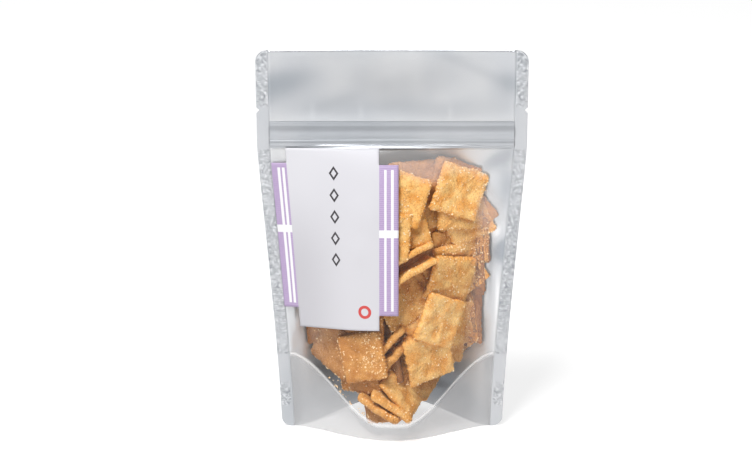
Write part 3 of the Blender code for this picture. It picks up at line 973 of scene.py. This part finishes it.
def zip_strips():
    """The strips' closed profile, out over the ribs and back, carried across between the seals."""
    mat, tree, out = new_material("zip_plastic")
    height, tone = crinkle(tree, 0.3, 0.6)
    covered(mat, out, {
        "Base Color": mixed(tree, tone, (0.38, 0.40, 0.43), (0.45, 0.465, 0.49)),
        "Roughness": 0.35, "Metallic": 0.55, "Normal": bumped(tree, height, 0.1, 0.0004)})
    h = np.linspace(ZIP_HEM, ZIP_TOP, ZIP_ROWS)
    stand = np.concatenate((zip_stand(h) + FILM_GAP - 0.00016, np.full(ZIP_ROWS, 0.00003)))
    h, t = np.meshgrid(np.concatenate((h, h[::-1])), np.linspace(-0.994, 0.994, 61))
    for name, side in (("zip_strip_front", -1.0), ("zip_strip_back", 1.0)):
        ring = film_points(t, h, side, stand)
        strip = sheet_mesh(name, ring if side > 0.0 else ring[:, ::-1], mat, across_wrap=True)
        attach(strip, "root")


zip_strips()

# Front film: clear laminate from the rim to the open top. It is stretched over the crackers that
# touch it, welded to the gusset along the curved line, and its folds run to the corners.
CELL = 0.001
grid_x = np.arange(-0.066, 0.0661, CELL)
grid_z = np.arange(0.0, 0.1701, CELL)
NOTHING = -0.05  # how far forward a cell without crackers reaches
FAR_BEHIND = 0.016
NECK_MIST = 0.55
FILM_CLEAR = 0.00025
WELD_HALF = 0.0008
WELD_RIDGE = 0.00030
WELD_WHITE = 0.6
LOOSE_FOLDS = 0.0005
SKIRT_FOLDS = 0.00025
FILM_EDGES = (0.0, 0.045, ZIP_HEM - 0.003, ZIP_TOP + 0.001, HEIGHT)
FILM_PITCHES = (0.0006, 0.0011, 0.0004, 0.0012)
FILM_COLS = 155
PULLS = 40
GAP_BLURS = 24
MIST_BLURS = 3
HAZE_FROM = 0.004
HAZE_OVER = 0.010


def shifted(grid):
    """The grid and its eight shifts by one cell, edges repeated."""
    padded = np.pad(grid, 1, mode="edge")
    rows, cols = grid.shape
    return np.stack([padded[i:i + rows, k:k + cols] for i in range(3) for k in range(3)])


def nearest_front(*lots):
    """For each cell of the x, z grid, how far forward the foremost cracker reaches there."""
    points = np.concatenate([lot.reshape(-1, 3) for lot in lots])
    i = np.round((points[:, 0] - grid_x[0]) / CELL).astype(int)
    k = np.round((points[:, 2] - grid_z[0]) / CELL).astype(int)
    keep = (i >= 0) & (i < len(grid_x)) & (k >= 0) & (k < len(grid_z))
    reach = np.full((len(grid_x), len(grid_z)), NOTHING)
    np.maximum.at(reach, (i[keep], k[keep]), -points[keep, 1])
    return shifted(reach).max(axis=0)


def read_grid(grid, x, z):
    """The grid's value between its cells, by the share of the way to each neighbour."""
    from_x = np.clip((x - grid_x[0]) / CELL, 0.0, len(grid_x) - 1.001)
    from_z = np.clip((z - grid_z[0]) / CELL, 0.0, len(grid_z) - 1.001)
    i, k = from_x.astype(int), from_z.astype(int)
    a, b = from_x - i, from_z - k
    low = grid[i, k] * (1.0 - a) + grid[i + 1, k] * a
    high = grid[i, k + 1] * (1.0 - a) + grid[i + 1, k + 1] * a
    return low * (1.0 - b) + high * b


def drape():
    """How far the crackers push the film out. The film is pulled down to its neighbours' mean again
    and again, and never below what pushes it. Also the gap left between it and the crackers, and
    where the misted ones are the foremost, spread by two cells. Both are blurred."""
    gx, gz = np.meshgrid(grid_x, grid_z, indexing="ij")
    plain = film_depth(gx, gz)
    reach = nearest_front(front_points, next_points, inner_points)
    behind_mist = nearest_front(misted_points)
    mist = (behind_mist > reach).astype(float)
    pushed = np.maximum(reach + FILM_CLEAR - plain, 0.0)
    film = pushed.copy()
    for _ in range(PULLS):
        film = np.maximum(pushed, shifted(film).mean(axis=0))
    reach = np.maximum(reach, behind_mist)
    gap = np.where(reach == NOTHING, 0.0, np.clip(plain + film - reach, 0.0, FAR_BEHIND))
    for _ in range(GAP_BLURS):
        gap = shifted(gap).mean(axis=0)
    mist = shifted(shifted(mist).max(axis=0)).max(axis=0)
    for _ in range(MIST_BLURS):
        mist = shifted(mist).mean(axis=0)
    return film, gap, mist


push_grid, gap_grid, mist_grid = drape()


def stops(edges, pitches):
    """Values through every edge, about one pitch apart in each run."""
    runs = [np.linspace(a, b, max(2, round((b - a) / pitch) + 1))
            for a, b, pitch in zip(edges, edges[1:], pitches)]
    return np.unique(np.round(np.concatenate(runs), 7))


def front_film():
    """The front film on a grid of about 1.1 mm, finer at the weld and the zip, with the weld's ridge
    and its own soft folds. Its haze grows with the gap behind it, away from the middle, and is set by
    height in the neck."""
    rows = stops(FILM_EDGES, FILM_PITCHES)
    h, t = np.meshgrid(rows, np.linspace(-1.0, 1.0, FILM_COLS), indexing="ij")
    plain = film_points(t, h, -1.0, 0.0)
    x, z = plain[..., 0], plain[..., 2]
    held = off_seals(t)
    above = h - weld_height(way_across(t, h))
    weld = np.exp(-(above / WELD_HALF) ** 2) * off_seals(t, 0.02)
    body = smooth((ZIP_FOOT - h) / 0.004) * smooth(above / 0.004)
    push = read_grid(push_grid, x, z) * held * body
    gap = read_grid(gap_grid, x, z)
    folds = LOOSE_FOLDS * ripples(x * 1.6, h, 97, 14, 0.014, 0.05) * smooth(gap / 0.008) * body
    skirt = SKIRT_FOLDS * ripples(x, h * 0.15, 101, 10, 0.006, 0.02) * smooth(-above / 0.004)
    stand = flat_gap(t, h) + zip_stand(h) * held + push + folds * held + skirt * held + WELD_RIDGE * weld
    points = film_points(t, h, -1.0, stand)
    points[..., 1] += header_waves(x, t, h)
    film = sheet_mesh("front_film", points, clear_film_material("clear_film", 0.002, 0.20, 1.33))
    clear_of = np.maximum(smooth((np.abs(x) - 0.030) / 0.014), smooth((z - 0.124) / 0.018))
    misted = read_grid(mist_grid, x, z) * (0.30 + 0.35 * smooth((z - 0.108) / 0.012))
    haze = np.maximum(smooth((gap - HAZE_FROM) / HAZE_OVER), misted) * clear_of * body
    neck = smooth((h - 0.140) / 0.010) * smooth((ZIP_HEM - h) / 0.001)
    mark_points(film, "haze", np.maximum(haze, NECK_MIST * neck))
    mark_points(film, "weld", weld * WELD_WHITE)
    # Where the skirt's painted shade lies: below the weld line.
    mark_points(film, "skirt", smooth((-0.0006 - above) / 0.0012))
    thicken(film, FILM_WALL, 1.0)
    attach(film, "root")
    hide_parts("pouch")


front_film()

# Label: one die-cut piece of coated paper stuck on the front film, a tall panel with a shorter tab
# each side. The tabs are printed soft purple with white stripes, and a white band crosses them.
PANEL_LEFT = -0.0554
PANEL_RIGHT = -0.0066
PANEL_TOP = 0.1565
PANEL_FOOT_LEFT = 0.0582
PANEL_FOOT_RIGHT = 0.0608
TAB_LEFT = -0.0634
TAB_RIGHT = 0.0034
TAB_TOP = 0.1485
TAB_FOOT = 0.0690
PAPER_WALL = 0.00018
PAPER_CLEAR = 0.00040
PAPER_PITCH = 0.0012
PAPER_ROW_PITCH = 0.0014
PAPER_SPREAD = 3
PAPER_PULLS = 14
PAPER_BLURS = 2
HAIR = 0.000001  # for comparing places on the grid
TO_MAP = 100.0  # the map's unit is a centimetre
LAID_PITCH = 0.105  # of the paper's fine lines, this and the rest in the map's units
STRIPES = ((-6.04, -5.90), (-5.80, -5.66), (-0.40, -0.28), (-0.05, 0.09))
STRIPES_UP = (7.15, 14.60)
BAND = (11.08, 11.48)
LOZENGES_AT = -3.05
LOZENGE_PITCH = 1.15
LOZENGES_UP = (9.2, 14.95)
RING_AT = (-1.45, 7.05)
RING = (0.20, 0.36)
LOZENGE_HALF_WIDTH = 0.26
LOZENGE_HALF_HEIGHT = 0.33  # as a share of the pitch


def paper_material():
    """Coated paper, with painted shade and light that make it lighter at its top than at its lower left.
    On its map u runs across and v up. A print is 1 inside its limits: bands of u and v, a lozenge where its
    two half ways add up to less than 1, and a ring by its distance from a middle."""
    mat, tree, out = new_material("label_paper")
    place = node(tree, "ShaderNodeUVMap", uv_map="flat").outputs[0]
    split = node(tree, "ShaderNodeSeparateXYZ", {0: place})
    u, v = split.outputs[0], split.outputs[1]

    def between(value, limits):
        """1 where the value is between two limits."""
        over = calc(tree, "GREATER_THAN", value, limits[0])
        return product(tree, over, calc(tree, "LESS_THAN", value, limits[1]))

    def either(first, *others):
        """1 where any of the prints is."""
        for other in others:
            first = calc(tree, "MAXIMUM", first, other)
        return first

    def way_from(value, middle):
        """How far the value is from a middle."""
        return calc(tree, "ABSOLUTE", calc(tree, "SUBTRACT", value, middle))

    # Painted shade and light on the paper: darker at its lower left and lighter at its top.
    to_right = spread(tree, u, -5.5, -2.2)
    shaded_foot = mixed(tree, to_right, (0.455, 0.448, 0.475), (0.535, 0.527, 0.555))
    lit_top = mixed(tree, to_right, (0.575, 0.570, 0.600), (0.530, 0.524, 0.555))
    paper = mixed(tree, spread(tree, v, 9.0, 14.6), shaded_foot, lit_top)

    laid = calc(tree, "SINE", product(tree, v, 2.0 * math.pi / LAID_PITCH))
    fibre = noise(tree, place, 9.0, 5.0, 0.7)
    purple = mixed(tree, spread(tree, laid, -1.0, 1.0), (0.335, 0.245, 0.42), (0.415, 0.315, 0.485))
    purple = mixed(tree, spread(tree, fibre, 0.4, 0.6, 0.0, 0.25), purple, (0.47, 0.39, 0.54))
    stripes = product(tree, either(*(between(u, stripe) for stripe in STRIPES)), between(v, STRIPES_UP))
    tab = mixed(tree, either(stripes, between(v, BAND)), purple, (0.74, 0.73, 0.745))
    panel = between(u, (TO_MAP * PANEL_LEFT, TO_MAP * PANEL_RIGHT))
    color = mixed(tree, panel, tab, paper)

    beat = calc(tree, "FRACT", calc(tree, "DIVIDE", v, LOZENGE_PITCH))
    lozenge = calc(tree, "ADD", calc(tree, "DIVIDE", way_from(u, LOZENGES_AT), LOZENGE_HALF_WIDTH),
                   calc(tree, "DIVIDE", way_from(beat, 0.5), LOZENGE_HALF_HEIGHT))
    lozenge = product(tree, between(lozenge, (0.55, 1.0)), between(v, LOZENGES_UP))
    color = mixed(tree, lozenge, color, (0.035, 0.03, 0.035))
    squares = [calc(tree, "POWER", way_from(value, middle), 2.0) for value, middle in zip((u, v), RING_AT)]
    far = calc(tree, "POWER", calc(tree, "ADD", *squares), 0.5)
    color = mixed(tree, between(far, RING), color, (0.52, 0.055, 0.05))
    return covered(mat, out, {
        "Base Color": color, "Roughness": 0.55, "Normal": bumped(tree, fibre, 0.15, 0.00015)})


def under_label():
    """The push that the paper follows: the film's, spread by a few cells and well smoothed."""
    stiff = push_grid
    for _ in range(PAPER_SPREAD):
        stiff = shifted(stiff).max(axis=0)
    for _ in range(PAPER_PULLS):
        stiff = np.maximum(shifted(stiff).mean(axis=0), push_grid)
    for _ in range(PAPER_BLURS):
        stiff = shifted(stiff).mean(axis=0)
    return stiff


def label():
    """The paper over a grid of s and h, without the corners beyond the tabs."""
    across = stops((TAB_LEFT, PANEL_LEFT, PANEL_RIGHT, TAB_RIGHT), (PAPER_PITCH,) * 3)
    up = stops((PANEL_FOOT_LEFT, TAB_FOOT, TAB_TOP, PANEL_TOP), (PAPER_ROW_PITCH,) * 3)
    h, s = np.meshgrid(up, across, indexing="ij")
    slope = (PANEL_FOOT_RIGHT - PANEL_FOOT_LEFT) * (s - PANEL_LEFT) / (PANEL_RIGHT - PANEL_LEFT)
    h = h + slope * np.clip((TAB_FOOT - h) / (TAB_FOOT - PANEL_FOOT_LEFT), 0.0, 1.0)
    t = share_at(s, h)
    plain = film_points(t, h, -1.0, 0.0)
    held = off_seals(t) * smooth((ZIP_FOOT - h) / 0.004)
    stand = FILM_GAP + PAPER_CLEAR + read_grid(under_label(), plain[..., 0], plain[..., 2]) * held
    points = film_points(t, h, -1.0, stand)
    rows, cols = points.shape[:2]
    index = np.arange(rows * cols).reshape(rows, cols)
    faces = np.stack((index[:-1, :-1], index[:-1, 1:], index[1:, 1:], index[1:, :-1]), axis=-1)
    in_panel = (across[:-1] > PANEL_LEFT - HAIR) & (across[1:] < PANEL_RIGHT + HAIR)
    in_tabs = (up[:-1] > TAB_FOOT - HAIR) & (up[1:] < TAB_TOP + HAIR)
    faces = faces[in_panel[None, :] | in_tabs[:, None]]
    used = np.unique(faces)
    faces = np.searchsorted(used, faces)
    paper = new_piece("paper_label", points.reshape(-1, 3)[used], faces.tolist(), paper_material())
    flat = paper.data.uv_layers.new(name="flat")
    corners = np.stack((s.ravel()[used], h.ravel()[used]), axis=-1)[faces.ravel()] * TO_MAP
    flat.data.foreach_set("uv", corners.astype(np.float32).ravel())
    paper.data.shade_smooth()
    thicken(paper, PAPER_WALL, 1.0)
    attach(paper, "root")
    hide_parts("label")


label()
